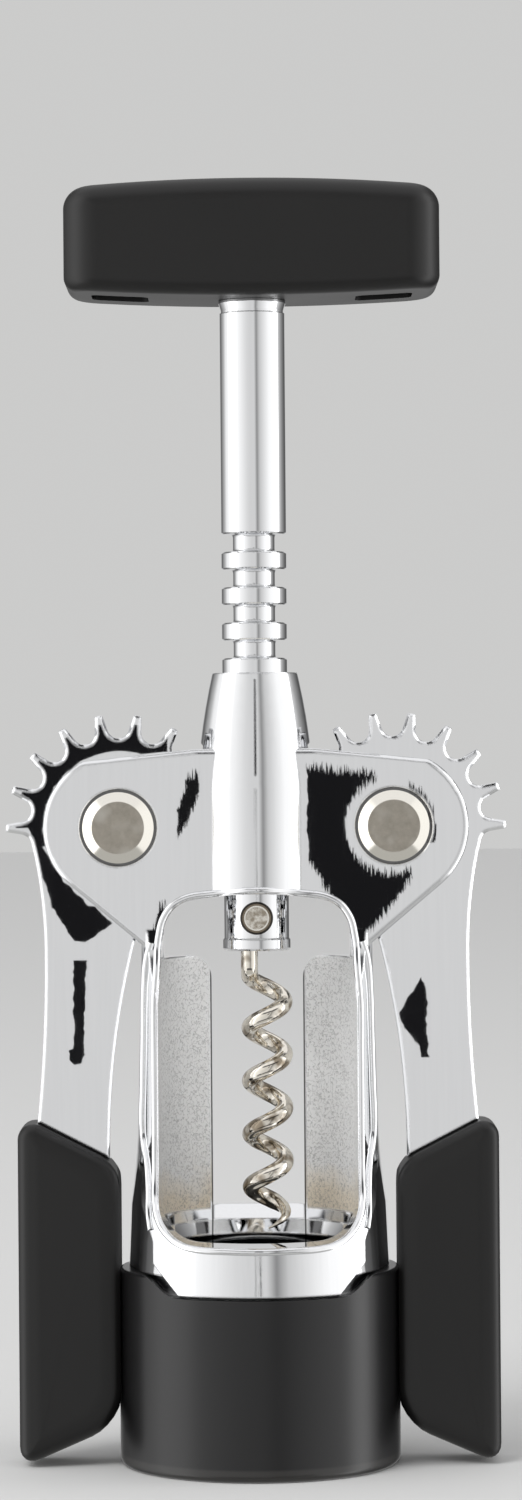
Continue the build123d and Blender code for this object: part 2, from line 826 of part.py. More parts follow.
export_step(spindle.part, "parts/spindle.step")

# ---- worm -------------------------------------------------------------------------------
# The coil is wound about Z with its point at +X, then turned so that the point is in front.
with BuildPart() as coil:
    with BuildLine() as point_path:
        Helix(pitch=coil_pitch, height=point_turns * coil_pitch, radius=coil_r)
    with BuildSketch(Plane(point_path.line @ 0, z_dir=point_path.line % 0)) as point_end:
        Circle(point_r)
    with BuildSketch(Plane(point_path.line @ 1, z_dir=point_path.line % 1)) as wire_section:
        Circle(wire_d / 2)
    sweep(
        sections=[point_end.sketch, wire_section.sketch],
        path=point_path.line,
        multisection=True,
        is_frenet=True,
    )
point_turn_angle = 360 * point_turns
with BuildPart() as upper_coil:
    upper_height = (coil_turns - point_turns) * coil_pitch
    with BuildLine() as coil_path:
        Helix(pitch=coil_pitch, height=upper_height, radius=coil_r)
    with BuildSketch(Plane(coil_path.line @ 0, z_dir=coil_path.line % 0)):
        Circle(wire_d / 2)
    sweep(is_frenet=True)
with BuildPart() as shank:
    with BuildLine() as shank_path:
        bend_start = (shank_x, 0, coil_top_z)
        bend_end = (shank_x, shank_y, coil_top_z + bend_rise)
        TangentArc(
            bend_start,
            bend_end,
            tangent=(0, -math.cos(lead_angle), math.sin(lead_angle)),
        )
        Line(bend_end, (shank_x, shank_y, shank_top_z - side_gap))
    with BuildSketch(Plane(shank_path.line @ 0, z_dir=shank_path.line % 0)):
        Circle(wire_d / 2)
    sweep()
with BuildPart() as worm:
    coil_origin = (coil_offset_x, 0, worm_tip_z)
    with Locations(Location(coil_origin, (0, 0, -90))):
        add(coil.part)
    upper_origin = (coil_offset_x, 0, worm_tip_z + point_turns * coil_pitch)
    with Locations(Location(upper_origin, (0, 0, point_turn_angle - 90))):
        add(upper_coil.part)
    add(shank.part)
worm.part.label = "worm"
export_step(worm.part, "parts/worm.step")

# ---- worm pin ---------------------------------------------------------------------------
with BuildPart() as worm_pin:
    pin_foot = -shank_y + wire_d / 2 + seat_gap
    with BuildSketch(Plane.XZ.offset(pin_foot)):
        with Locations((0, worm_pin_z)):
            Circle(worm_pin_d / 2)
    extrude(amount=spindle_r - pin_foot)
worm_pin.part.label = "worm_pin"
export_step(worm_pin.part, "parts/worm_pin.step")

# ---- spindle collar ---------------------------------------------------------------------
with BuildPart() as spindle_collar:
    with BuildSketch(Plane.XZ):
        with BuildLine():
            collar_bore_r = spindle_neck_r + running_gap
            Polyline(
                (collar_bore_r, collar_foot_z),
                (collar_waist_r, collar_foot_z),
                (collar_waist_r, collar_foot_z + collar_step),
                (collar_r, handle_foot_z - running_gap - collar_step),
                (collar_r, handle_foot_z - running_gap),
                (collar_bore_r, handle_foot_z - running_gap),
                close=True,
            )
        make_face()
    revolve(axis=Axis.Z)
spindle_collar.part.label = "spindle_collar"
export_step(spindle_collar.part, "parts/spindle_collar.step")

# ---- handle -----------------------------------------------------------------------------
# The whole handle's outer form, before it is split into its two shells.
with BuildPart() as handle_form:
    with BuildSketch(Plane.XZ):
        with BuildLine():
            end_top_z = handle_top_z - handle_crown
            end_foot_z = handle_foot_z + handle_foot_crown
            ThreePointArc(
                (-handle_half, end_top_z), (0, handle_top_z), (handle_half, end_top_z)
            )
            Line((handle_half, end_top_z), (handle_half, end_foot_z))
            ThreePointArc(
                (handle_half, end_foot_z), (0, handle_foot_z), (-handle_half, end_foot_z)
            )
            Line((-handle_half, end_foot_z), (-handle_half, end_top_z))
        make_face()
    extrude(amount=handle_half_depth, both=True)
    fillet(handle_form.edges().filter_by(Axis.Z), handle_plan_fillet)
    top_face = handle_form.faces().sort_by(Axis.Z)[-1]
    fillet(top_face.edges(), handle_top_fillet)
    foot_face = handle_form.faces().sort_by(Axis.Z)[0]
    fillet(foot_face.edges(), handle_foot_fillet)

with BuildPart() as handle_lower:
    add(handle_form.part)
    split(bisect_by=Plane.XY.offset(handle_split_z), keep=Keep.BOTTOM)
    with BuildSketch(Plane.XY.offset(handle_foot_z - 1)):
        Circle(spindle_neck_r + running_gap)
    extrude(amount=core_floor + 2, mode=Mode.SUBTRACT)
    with BuildSketch(Plane.XY.offset(square_foot_z)):
        Rectangle(2 * (core_half + seat_gap), 2 * (core_half + seat_gap))
    extrude(amount=handle_split_z - square_foot_z, mode=Mode.SUBTRACT)
    with BuildSketch(Plane.XY.offset(handle_foot_z - 1)):
        with Locations(
            (-(pocket_x[0] + pocket_x[1]) / 2, 0),
            ((pocket_x[0] + pocket_x[1]) / 2, 0),
        ):
            RectangleRounded(pocket_x[1] - pocket_x[0], 2 * pocket_half_depth, pocket_corner_r)
    extrude(amount=pocket_height + 1, mode=Mode.SUBTRACT)
handle_lower.part.label = "handle_lower"
export_step(handle_lower.part, "parts/handle_lower.step")

with BuildPart() as handle_upper:
    add(handle_form.part)
    split(bisect_by=Plane.XY.offset(handle_split_z), keep=Keep.TOP)
    with BuildSketch(Plane.XY.offset(handle_split_z)):
        Rectangle(2 * (core_half + seat_gap), 2 * (core_half + seat_gap))
    extrude(amount=core_top_z + seat_gap - handle_split_z, mode=Mode.SUBTRACT)
    with BuildSketch(Plane.XY.offset(handle_split_z)):
        Circle(washer_r + seat_gap)
    extrude(
        amount=screw_head_z + screw_head_height + seat_gap - handle_split_z,
        mode=Mode.SUBTRACT,
    )
handle_upper.part.label = "handle_upper"
export_step(handle_upper.part, "parts/handle_upper.step")

# ---- handle core, screw and washer ------------------------------------------------------
with BuildPart() as handle_core:
    with BuildSketch(Plane.XY.offset(square_foot_z)):
        Rectangle(2 * core_half, 2 * core_half)
        Rectangle(
            2 * (square_half + seat_gap), 2 * (square_half + seat_gap), mode=Mode.SUBTRACT
        )
    extrude(amount=core_top_z - square_foot_z)
handle_core.part.label = "handle_core"
export_step(handle_core.part, "parts/handle_core.step")

with BuildPart() as handle_washer:
    with BuildSketch(Plane.XY.offset(washer_z)):
        Circle(washer_r)
        Circle(screw_r + seat_gap, mode=Mode.SUBTRACT)
    extrude(amount=washer_thickness)
handle_washer.part.label = "handle_washer"
export_step(handle_washer.part, "parts/handle_washer.step")

with BuildPart() as handle_screw:
    with BuildSketch(Plane.XY.offset(screw_head_z)):
        Circle(screw_head_r)
    extrude(amount=screw_head_height)
    with BuildSketch(Plane.XY.offset(screw_head_z)):
        Circle(screw_r)
    extrude(amount=-(screw_length - 1))
    with BuildSketch(Plane.XY.offset(screw_head_z + screw_head_height - hex_socket_depth)):
        RegularPolygon(hex_socket_r, 6)
    extrude(amount=hex_socket_depth, mode=Mode.SUBTRACT)
handle_screw.part.label = "handle_screw"
export_step(handle_screw.part, "parts/handle_screw.step")
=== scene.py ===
import json
import math

import bpy
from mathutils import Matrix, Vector


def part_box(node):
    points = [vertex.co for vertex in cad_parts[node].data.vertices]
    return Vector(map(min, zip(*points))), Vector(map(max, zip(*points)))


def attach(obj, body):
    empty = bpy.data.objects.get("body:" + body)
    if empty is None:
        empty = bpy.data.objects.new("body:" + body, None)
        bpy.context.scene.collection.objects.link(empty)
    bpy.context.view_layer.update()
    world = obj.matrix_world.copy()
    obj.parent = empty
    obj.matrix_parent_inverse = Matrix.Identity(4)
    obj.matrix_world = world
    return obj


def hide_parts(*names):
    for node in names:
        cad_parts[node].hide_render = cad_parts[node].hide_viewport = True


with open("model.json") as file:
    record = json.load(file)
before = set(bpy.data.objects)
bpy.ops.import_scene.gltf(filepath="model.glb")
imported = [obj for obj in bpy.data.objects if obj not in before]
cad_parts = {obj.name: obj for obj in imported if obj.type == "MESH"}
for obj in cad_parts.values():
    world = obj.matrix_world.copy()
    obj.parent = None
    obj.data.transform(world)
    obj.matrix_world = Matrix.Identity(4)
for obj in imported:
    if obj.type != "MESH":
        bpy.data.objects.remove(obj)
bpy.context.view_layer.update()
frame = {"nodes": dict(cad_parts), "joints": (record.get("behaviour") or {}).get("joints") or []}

# The scene is in metres, so a size in millimetres is written times MM. The bell stands on
# z = 0, the spindle's axis is x = y = 0 and the tool's front faces -Y.
MM = 0.001
bpy.ops.object.select_all(action="DESELECT")

# ---- studio -------------------------------------------------------------------------------
# A long lens looks level at the front of the tool from a little to the right of its axis,
# rolled by less than half a degree. Its frame takes in 225 mm at the tool's middle.
view_distance = 657 * MM
view_centre = (0.85 * MM, 106.65 * MM)
view_height = 225 * MM
view_roll = 0.45  # degrees
film_height = 24
camera_data = bpy.data.cameras.new("camera")
camera_data.sensor_fit = "VERTICAL"
camera_data.sensor_height = film_height
camera_data.lens = film_height * view_distance / view_height
camera_data.clip_start = 0.01
camera_data.clip_end = 50
camera = bpy.data.objects.new("camera", camera_data)
bpy.context.scene.collection.objects.link(camera)
camera.location = (view_centre[0], -view_distance, view_centre[1])
camera.rotation_euler = (math.pi / 2, math.radians(view_roll), 0)
bpy.context.scene.camera = camera
bpy.context.scene.view_settings.view_transform = "Standard"


def put(tree, kind, inputs=(), **settings):
    """A new node with its settings, and its inputs filled with values or links."""
    node = tree.nodes.new(kind)
    for name, value in settings.items():
        setattr(node, name, value)
    for name, value in dict(inputs).items():
        if isinstance(value, bpy.types.NodeSocket):
            tree.links.new(value, node.inputs[name])
        else:
            node.inputs[name].default_value = value
    return node


def maths(tree, operation, *values):
    """A Math node's result."""
    return put(tree, "ShaderNodeMath", enumerate(values), operation=operation).outputs[0]


def all_of(tree, *masks):
    """1 where every mask is 1: their product."""
    result = masks[0]
    for mask in masks[1:]:
        result = maths(tree, "MULTIPLY", result, mask)
    return result


def any_of(tree, *masks):
    """1 where some mask is 1: the largest of them."""
    result = masks[0]
    for mask in masks[1:]:
        result = maths(tree, "MAXIMUM", result, mask)
    return result


def stepped(tree, value, low, high):
    """How far a value has come from low to high, between 0 and 1."""
    return put(tree, "ShaderNodeMapRange", {0: value, 1: low, 2: high}).outputs[0]


def distance(tree, across, up):
    """How far a spot lies from another, from its two offsets."""
    offset = put(tree, "ShaderNodeCombineXYZ", {"X": across, "Y": up}).outputs[0]
    return put(tree, "ShaderNodeVectorMath", {0: offset}, operation="LENGTH").outputs["Value"]


def stretched(tree, spot, scale):
    """A spot with each of its coordinates scaled."""
    return put(tree, "ShaderNodeVectorMath", {0: spot, 1: scale}, operation="MULTIPLY").outputs[0]


def noise(tree, spot, scale, detail=2.0, roughness=0.5):
    """A Noise texture's value at a spot."""
    inputs = {"Vector": spot, "Scale": scale, "Detail": detail, "Roughness": roughness}
    return put(tree, "ShaderNodeTexNoise", inputs).outputs["Fac"]


def ramp(tree, factor, stops):
    """A colour ramp's result, from pairs of place and grey."""
    node = put(tree, "ShaderNodeValToRGB", {"Fac": factor})
    elements = node.color_ramp.elements
    while len(elements) < len(stops):
        elements.new(0.5)
    for element, (place, grey) in zip(elements, stops):
        element.position = place
        element.color = (grey, grey, grey, 1)
    return node.outputs["Color"]


def mixed(tree, factor, first, second, blend="MIX"):
    """Two colours mixed by a factor."""
    node = put(tree, "ShaderNodeMix", data_type="RGBA", blend_type=blend)
    for socket, value in zip((node.inputs[0], node.inputs[6], node.inputs[7]), (factor, first, second)):
        if isinstance(value, bpy.types.NodeSocket):
            tree.links.new(value, socket)
        else:
            socket.default_value = value
    return node.outputs[2]


# The room that the chrome mirrors: a soft box at each side, one overhead, a grey wall in front
# with a dark gap beside the camera, and two dark strips across that wall, high and low.
world = bpy.data.worlds.new("studio")
bpy.context.scene.world = world
world.use_nodes = True
tree = world.node_tree
tree.nodes.clear()
direction = put(tree, "ShaderNodeTexCoord").outputs["Generated"]
toward = put(tree, "ShaderNodeSeparateXYZ", {0: direction})
ahead = maths(tree, "MULTIPLY", toward.outputs["Y"], -1.0)
turn = maths(tree, "ARCTAN2", toward.outputs["X"], ahead)
room_stops = (  # degrees to the right of straight ahead, and how bright the room is there
    (-180, 0.62), (-168, 0.60), (-158, 0.20), (-150, 0.12), (-139, 0.26), (-122, 0.52),
    (-110, 0.95), (-98, 1.05), (-90, 1.80), (-62, 1.80), (-54, 1.10), (-20, 0.76), (-8, 0.70),
    (6, 0.70), (14, 0.28), (24, 0.62), (60, 1.10), (78, 1.15), (83, 2.70), (98, 2.70),
    (104, 0.72), (117, 0.38), (132, 0.20), (150, 0.08), (158, 0.14), (168, 0.60), (180, 0.62),
)
walls = ramp(
    tree,
    maths(tree, "MULTIPLY_ADD", turn, 0.5 / math.pi, 0.5),
    [(degrees / 360 + 0.5, grey) for degrees, grey in room_stops],
)
height = maths(tree, "MULTIPLY_ADD", toward.outputs["Z"], 0.5, 0.5)  # 0 is down and 1 is up
strip_stops = (
    (0.16, 0.0), (0.18, 1.0), (0.24, 1.0), (0.26, 0.0),
    (0.74, 0.0), (0.76, 1.0), (0.83, 1.0), (0.85, 0.0),
)
strip_dark, overhead_white = (0.10, 0.10, 0.105, 1), (0.95, 0.95, 0.96, 1)
ground_grey, gear_black = (0.50, 0.50, 0.49, 1), (0.010, 0.010, 0.011, 1)
in_front = stepped(tree, maths(tree, "ABSOLUTE", turn), 0.85, 0.6)
strips = all_of(tree, ramp(tree, height, strip_stops), in_front)
room = mixed(tree, strips, walls, strip_dark)
room = mixed(tree, stepped(tree, height, 0.84, 0.86), room, overhead_white)
room = mixed(tree, stepped(tree, height, 0.18, 0.16), room, ground_grey)

# Dark gear stands round the camera. Each shape is drawn where the flat plates mirror it, in
# millimetres on the tool's front, and some have edges that run ragged along the polishing lines.
lens_side = maths(tree, "MAXIMUM", ahead, 0.01)
mirror_x = maths(tree, "DIVIDE", toward.outputs["X"], lens_side)
mirror_x = maths(tree, "MULTIPLY_ADD", mirror_x, view_distance / MM, view_centre[0] / MM)
mirror_z = maths(tree, "DIVIDE", toward.outputs["Z"], lens_side)
mirror_z = maths(tree, "MULTIPLY_ADD", mirror_z, view_distance / MM, view_centre[1] / MM)
pane = put(tree, "ShaderNodeCombineXYZ", {"X": mirror_x, "Z": mirror_z}).outputs[0]
soft_wave = noise(tree, pane, 0.6)
fine_lines = noise(tree, stretched(tree, pane, (5.0, 0, 0.10)), 1.0)
bent_x = maths(tree, "ADD", mirror_x, maths(tree, "MULTIPLY_ADD", soft_wave, 1.0, -0.5))
ragged_z = maths(tree, "ADD", mirror_z, maths(tree, "MULTIPLY_ADD", fine_lines, 6.0, -3.0))


def inside(x, z, *corners):
    """1 inside a convex outline whose corners go round clockwise, else 0."""
    least = 1.0e6
    for (x0, z0), (x1, z1) in zip(corners, corners[1:] + corners[:1]):
        share = maths(tree, "MULTIPLY_ADD", x, z1 - z0, z0 * (x1 - x0) - x0 * (z1 - z0))
        least = maths(tree, "MINIMUM", least, maths(tree, "MULTIPLY_ADD", z, x0 - x1, share))
    return maths(tree, "GREATER_THAN", least, 0.0)


# The right wing's pivot. The left wing's lies as far out on the other side.
pivot_x, pivot_z = next(
    joint["pos_m"][::2] for joint in frame["joints"] if joint["name"] == "right_wing_pivot"
)
right_patch = (
    (7.6, 104.3), (17.9, 102.9), (23.6, 87.6), (21.4, 84.6), (16.4, 78.8), (15.2, 79.0), (7.8, 89.9),
)
ragged_shapes = (
    ((-10.2, 102.6), (-8.4, 102.9), (-8.7, 99.7), (-10.8, 94.5), (-11.9, 93.9), (-11.6, 98.0)),
    ((-15.9, 79.0), (-14.4, 83.4), (-13.3, 83.8), (-15.2, 78.4)),
)
left_head_shapes = (
    ((-34.4, 95.9), (-32.1, 95.9), (-31.5, 92.4), (-33.1, 92.4)),
    ((-33.1, 92.9), (-31.6, 92.9), (-29.6, 88.3), (-28.4, 86.2), (-31.9, 87.6)),
    ((-32.2, 88.9), (-28.4, 86.7), (-24.6, 82.9), (-25.8, 81.0), (-30.6, 83.2)),
    ((-30.9, 84.2), (-24.4, 83.4), (-21.6, 80.8), (-25.6, 78.1), (-27.4, 78.3), (-29.2, 80.9)),
)
left_arm_shapes = (
    ((-27.6, 75.3), (-25.6, 75.3), (-26.2, 61.2), (-27.5, 61.2)),
    ((-28.3, 61.8), (-26.3, 62.4), (-26.0, 61.1), (-26.4, 59.9), (-27.4, 59.7), (-28.2, 60.4)),
)
right_arm_shapes = (
    ((24.7, 72.4), (25.5, 70.1), (25.3, 62.1), (24.2, 62.1), (21.4, 65.8), (21.1, 67.0), (22.9, 69.7)),
    ((23.9, 64.6), (25.4, 64.6), (25.6, 60.4), (24.5, 60.4)),
)
boom = (((-24.0, 190.0), (-24.0, 430.0), (24.0, 430.0), (24.0, 190.0)),)
# The patch beside the right pin keeps clear of the pin's head, where it leaves a thin crescent.
clear_r, crescent_r, crescent_half = 7.2, 6.15, 0.45
right_x = maths(tree, "ADD", mirror_x, -pivot_x / MM)
right_r = distance(tree, right_x, maths(tree, "ADD", ragged_z, -pivot_z / MM))
gear = all_of(
    tree, inside(bent_x, ragged_z, *right_patch), maths(tree, "GREATER_THAN", right_r, clear_r)
)
crescent = all_of(
    tree,
    maths(tree, "COMPARE", right_r, crescent_r, crescent_half),
    maths(tree, "GREATER_THAN", right_x, 2.5),
    maths(tree, "GREATER_THAN", mirror_z, 92.5),
)
# A dark ring lies round the roots of the left wing's teeth, where its ear plate leaves them
# bare: above the plate's sloping edge, or to the left of it.
ring_r, ring_half = 13.5, 2.1
ear_slope, ear_edge_z, ear_left_x = -0.079, 107.5, -4.0
left_x = maths(tree, "ADD", bent_x, pivot_x / MM)
left_z = maths(tree, "ADD", mirror_z, -pivot_z / MM)
above_ear = maths(
    tree, "GREATER_THAN", maths(tree, "MULTIPLY_ADD", mirror_x, ear_slope, mirror_z), ear_edge_z
)
ring = all_of(
    tree,
    maths(tree, "COMPARE", distance(tree, left_x, left_z), ring_r, ring_half),
    maths(tree, "LESS_THAN", left_x, 7.4),
    maths(tree, "GREATER_THAN", left_z, 0.0),
    any_of(tree, above_ear, maths(tree, "LESS_THAN", left_x, ear_left_x)),
)
gear = any_of(
    tree,
    gear,
    crescent,
    ring,
    *(inside(bent_x, ragged_z, *shape) for shape in ragged_shapes),
    *(
        inside(bent_x, mirror_z, *shape)
        for shape in left_head_shapes + left_arm_shapes + right_arm_shapes + boom
    ),
)
gear = all_of(tree, gear, maths(tree, "GREATER_THAN", ahead, 0.85))
room = mixed(tree, gear, room, gear_black)
wall = put(tree, "ShaderNodeBackground", {"Color": (0.60, 0.60, 0.595, 1)})
boxes = put(tree, "ShaderNodeBackground", {"Color": room})
is_camera = put(tree, "ShaderNodeLightPath").outputs["Is Camera Ray"]
seen = put(
    tree, "ShaderNodeMixShader", {0: is_camera, 1: boxes.outputs[0], 2: wall.outputs[0]}
)
put(tree, "ShaderNodeOutputWorld", {"Surface": seen.outputs[0]})

for name, watts, place, tilt, turned in (  # place in metres, tilt and turn in degrees
    ("key_lamp", 20, (-0.9, -1.1, 1.5), 44, -39),
    ("fill_lamp", 4.5, (0.15, -1.3, 0.36), 78, 6),
):
    lamp_data = bpy.data.lights.new(name, "AREA")
    lamp_data.shape = "DISK"
    lamp_data.size = 1.0
    lamp_data.energy = watts
    lamp = bpy.data.objects.new(name, lamp_data)
    bpy.context.scene.collection.objects.link(lamp)
    lamp.location = place
    lamp.rotation_euler = (math.radians(tilt), 0, math.radians(turned))
    lamp.visible_glossy = False

bpy.ops.mesh.primitive_circle_add(vertices=96, radius=4, fill_type="NGON", location=(0, 0, 0))
floor = bpy.context.object
floor.name = "floor"
floor.visible_glossy = False  # the chrome mirrors the room's own floor instead
floor_paint = bpy.data.materials.new("pale_floor")
floor_paint.use_nodes = True
shader = floor_paint.node_tree.nodes["Principled BSDF"]
shader.inputs["Base Color"].default_value = (0.58, 0.58, 0.575, 1)
shader.inputs["Roughness"].default_value = 0.9
floor.data.materials.append(floor_paint)

# ---- casting ------------------------------------------------------------------------------
# Ear plates, neck, cage and bell shoulder are one zinc die casting, polished and chromed
# outside. Inside the cage it is left as cast: grainy, satin, and a little stained at its foot.
chrome_grey, chrome_line = (0.89, 0.895, 0.905, 1), (0.87, 0.875, 0.885, 1)
bare_zinc, stained_zinc = (0.99, 0.99, 0.985, 1), (0.93, 0.80, 0.60, 1)
# the dark round the pin heads is painted shade; the same dark is laid along the rear window's cut edges
seat_shade_and_edge_black = (0.045, 0.043, 0.04, 1)
edge_round = 0.45 * MM  # how round the polished edges look


def new_skin(name):
    """A node group that puts out a surface's colour, roughness and normal, and its end node."""
    group = bpy.data.node_groups.new(name, "ShaderNodeTree")
    for socket, kind in (("Colour", "Color"), ("Roughness", "Float"), ("Normal", "Vector")):
        group.interface.new_socket(socket, in_out="OUTPUT", socket_type="NodeSocket" + kind)
    return group, group.nodes.new("NodeGroupOutput")


def object_spot(tree):
    """The place of a surface point on its own piece."""
    return put(tree, "ShaderNodeTexCoord").outputs["Object"]


def bumped(tree, height, strength, depth, normal=None):
    """The normal of a surface with a relief of the given depth."""
    inputs = {"Strength": strength, "Distance": depth, "Height": height}
    if normal is not None:
        inputs["Normal"] = normal
    return put(tree, "ShaderNodeBump", inputs).outputs[0]


# The plating has fine polishing lines up the tool, and swells hardly enough to bend a mirrored
# line. Its rounded edges come in as the surface normal.
plating, skin_out = new_skin("polished_plating")
plating.interface.new_socket("Surface normal", in_out="INPUT", socket_type="NodeSocketVector")
skin_in = plating.nodes.new("NodeGroupInput")
spot = object_spot(plating)
drawn = noise(plating, stretched(plating, spot, (1900, 1900, 75)), 1.0, 3.0)
swell = noise(plating, spot, 110.0, 1.0)
plating.links.new(
    mixed(plating, stepped(plating, drawn, 0.3, 0.75), chrome_grey, chrome_line),
    skin_out.inputs["Colour"],
)
plating.links.new(maths(plating, "MULTIPLY", drawn, 0.012), skin_out.inputs["Roughness"])
plating.links.new(
    bumped(plating, swell, 1.0, 0.0006 * MM, skin_in.outputs["Surface normal"]),
    skin_out.inputs["Normal"],
)


def new_material(name, metallic=0.0, roughness=0.5):
    """A material with its node tree and its Principled shader."""
    material = bpy.data.materials.new(name)
    material.use_nodes = True
    shader = material.node_tree.nodes["Principled BSDF"]
    shader.inputs["Metallic"].default_value = metallic
    shader.inputs["Roughness"].default_value = roughness
    return material, material.node_tree, shader


def apply_skin(tree, shader, group, inputs=()):
    """A shader takes its colour, roughness and normal from a skin group, which is returned."""
    skin = put(tree, "ShaderNodeGroup", inputs, node_tree=group)
    tree.links.new(skin.outputs["Colour"], shader.inputs["Base Color"])
    tree.links.new(skin.outputs["Roughness"], shader.inputs["Roughness"])
    tree.links.new(skin.outputs["Normal"], shader.inputs["Normal"])
    return skin


def plated(name, edge):
    """A chrome material whose edges look rounded by about edge, its tree, shader and group."""
    material, tree, shader = new_material(name, metallic=1.0)
    rounded = put(tree, "ShaderNodeBevel", {"Radius": edge}, samples=4)
    skin = apply_skin(tree, shader, plating, {"Surface normal": rounded.outputs[0]})
    return material, tree, shader, skin


def dress(material, *names):
    """CAD nodes take a material in place of their own."""
    for name in names:
        mesh = frame["nodes"][name].data
        mesh.materials.clear()
        mesh.materials.append(material)


# Bare zinc shows inside the cage's bore, from its sill up to the arch and from behind the front
# opening's edge round to the rear window.
cage_bore_r = 14.9 * MM
casting, tree, shader, skin = plated("chromed_casting", edge_round)
spot = object_spot(tree)
where = put(tree, "ShaderNodeSeparateXYZ", {0: spot})
sideways = maths(tree, "ABSOLUTE", where.outputs["X"])
from_axis = distance(tree, where.outputs["X"], where.outputs["Y"])
bare = all_of(
    tree,
    stepped(tree, from_axis, cage_bore_r, cage_bore_r - 0.1 * MM),
    stepped(tree, where.outputs["Z"], 36.4 * MM, 36.9 * MM),
    stepped(tree, where.outputs["Z"], 75.3 * MM, 75.1 * MM),
    stepped(tree, where.outputs["Y"], -9.4 * MM, -8.6 * MM),
    stepped(tree, sideways, 7.3 * MM, 7.5 * MM),
)
grain = noise(tree, spot, 1500.0, 3.0)
cell_edge = maths(tree, "ABSOLUTE", maths(tree, "SUBTRACT", grain, 0.5))
pit_shade = ramp(tree, cell_edge, ((0.0, 0.50), (0.015, 0.66), (0.040, 1.0)))
tide = maths(tree, "MULTIPLY_ADD", noise(tree, spot, 170.0, 4.0), -10 * MM, where.outputs["Z"])
stain = maths(tree, "MULTIPLY", stepped(tree, tide, 39 * MM, 33 * MM), 0.72)
zinc = mixed(tree, 0.9, mixed(tree, stain, bare_zinc, stained_zinc), pit_shade, "MULTIPLY")
# painted shade darkens a ring round each pin head, where the head sits on the plate, and the cut edges
# of the rear window are darkened too
pin_across = maths(tree, "SUBTRACT", sideways, pivot_x)
pin_up = maths(tree, "SUBTRACT", where.outputs["Z"], pivot_z)
pin_seat_shade = maths(tree, "COMPARE", distance(tree, pin_across, pin_up), 5.5 * MM, 0.26 * MM)
window_edge = all_of(
    tree,
    maths(tree, "COMPARE", sideways, 7.1 * MM, 0.12 * MM),
    stepped(tree, where.outputs["Y"], 9.0 * MM, 10.0 * MM),
    stepped(tree, where.outputs["Z"], 75.6 * MM, 75.3 * MM),
)
seat_shade_and_edge_dark = maths(tree, "MULTIPLY", any_of(tree, pin_seat_shade, window_edge), 0.85)
metal = mixed(tree, bare, skin.outputs["Colour"], zinc)
tree.links.new(mixed(tree, seat_shade_and_edge_dark, metal, seat_shade_and_edge_black), shader.inputs["Base Color"])
zinc_roughness = maths(tree, "MULTIPLY_ADD", grain, 0.2, 0.32)
roughness = put(tree, "ShaderNodeMix", {0: bare, 2: skin.outputs["Roughness"], 3: zinc_roughness})
tree.links.new(roughness.outputs[0], shader.inputs["Roughness"])
tree.links.new(maths(tree, "MULTIPLY_ADD", bare, -0.7, 1.0), shader.inputs["Metallic"])
zinc_normal = bumped(tree, grain, 0.6, 0.05 * MM)
normal = put(
    tree, "ShaderNodeMix", {0: bare, 4: skin.outputs["Normal"], 5: zinc_normal}, data_type="VECTOR"
)
tree.links.new(normal.outputs[1], shader.inputs["Normal"])
dress(casting, "frame")

# A rolled rim, cast with the cage and polished bright, runs round its front opening: across
# the arch, down both legs and round the bowl at their foot. A like ridge runs down outside it
# on each leg. Both are drawn in millimetres as seen from the front, and laid on the casting.
rim_thickness = 1.1 * MM
rim_overhang = 0.55  # how far outside the opening's edge the rim is centred
rim_side = (
    (0, 85.3), (5.6, 85.0), (11.1, 84.0), (13.1, 82.0), (14.0, 79.0), (14.35, 74), (14.7, 69),
    (14.7, 62), (14.7, 55), (14.7, 49), (14.7, 44), (14.7, 40.2), (14.25, 38.0), (12.95, 35.95),
    (10.95, 34.65), (8.7, 34.2), (4.4, 34.2), (0, 34.2),
)
rim_loop = rim_side + tuple((-x, z) for x, z in reversed(rim_side[1:-1]))
rim_bend_z = (41, 78)  # between them the opening's sides are upright
leg_ridge = (
    (15.7, 78.2), (16.4, 75.5), (16.75, 71), (16.9, 64), (17.05, 57), (17.2, 51), (17.0, 48.5),
    (16.5, 45.5), (16.25, 42), (16.2, 38.5), (15.9, 36.2),
)
rim_curve = bpy.data.curves.new("opening_rim", "CURVE")
rim_curve.dimensions = "3D"
rim_curve.bevel_depth = rim_thickness / 2
rim_curve.bevel_resolution = 5
rim_curve.resolution_u = 10


def lay_bead(route, missed_y, cyclic=False):
    """A spline of the rim's curve along a route on the casting's front."""
    line = rim_curve.splines.new("BEZIER")
    line.bezier_points.add(len(route) - 1)
    line.use_cyclic_u = cyclic
    for bezier, (x, z) in zip(line.bezier_points, route):
        start = Vector((x, -40, z)) * MM
        hit, point = frame["nodes"]["frame"].ray_cast(start, Vector((0, 1, 0)))[:2]
        bezier.co = point if hit else (x * MM, missed_y, z * MM)
        bezier.handle_left_type = bezier.handle_right_type = "AUTO"


rim_route = []
for x, z in rim_loop:
    outward = Vector((x, z - min(max(z, rim_bend_z[0]), rim_bend_z[1]))).normalized()
    rim_route.append(Vector((x, z)) + outward * rim_overhang)
lay_bead(rim_route, -15 * MM, cyclic=True)
for hand in (-1, 1):
    lay_bead([(hand * x, z) for x, z in leg_ridge], -4 * MM)
rim = bpy.data.objects.new("opening_rim", rim_curve)
bpy.context.scene.collection.objects.link(rim)
bpy.context.view_layer.objects.active = rim
rim.select_set(True)
bpy.ops.object.convert(target="MESH")
rim = bpy.context.object
bpy.ops.object.shade_smooth()
rim.data.materials.clear()
rim.data.materials.append(plated("rim_chrome", 0.1 * MM)[0])
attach(rim, "body_frame")
bpy.ops.object.select_all(action="DESELECT")

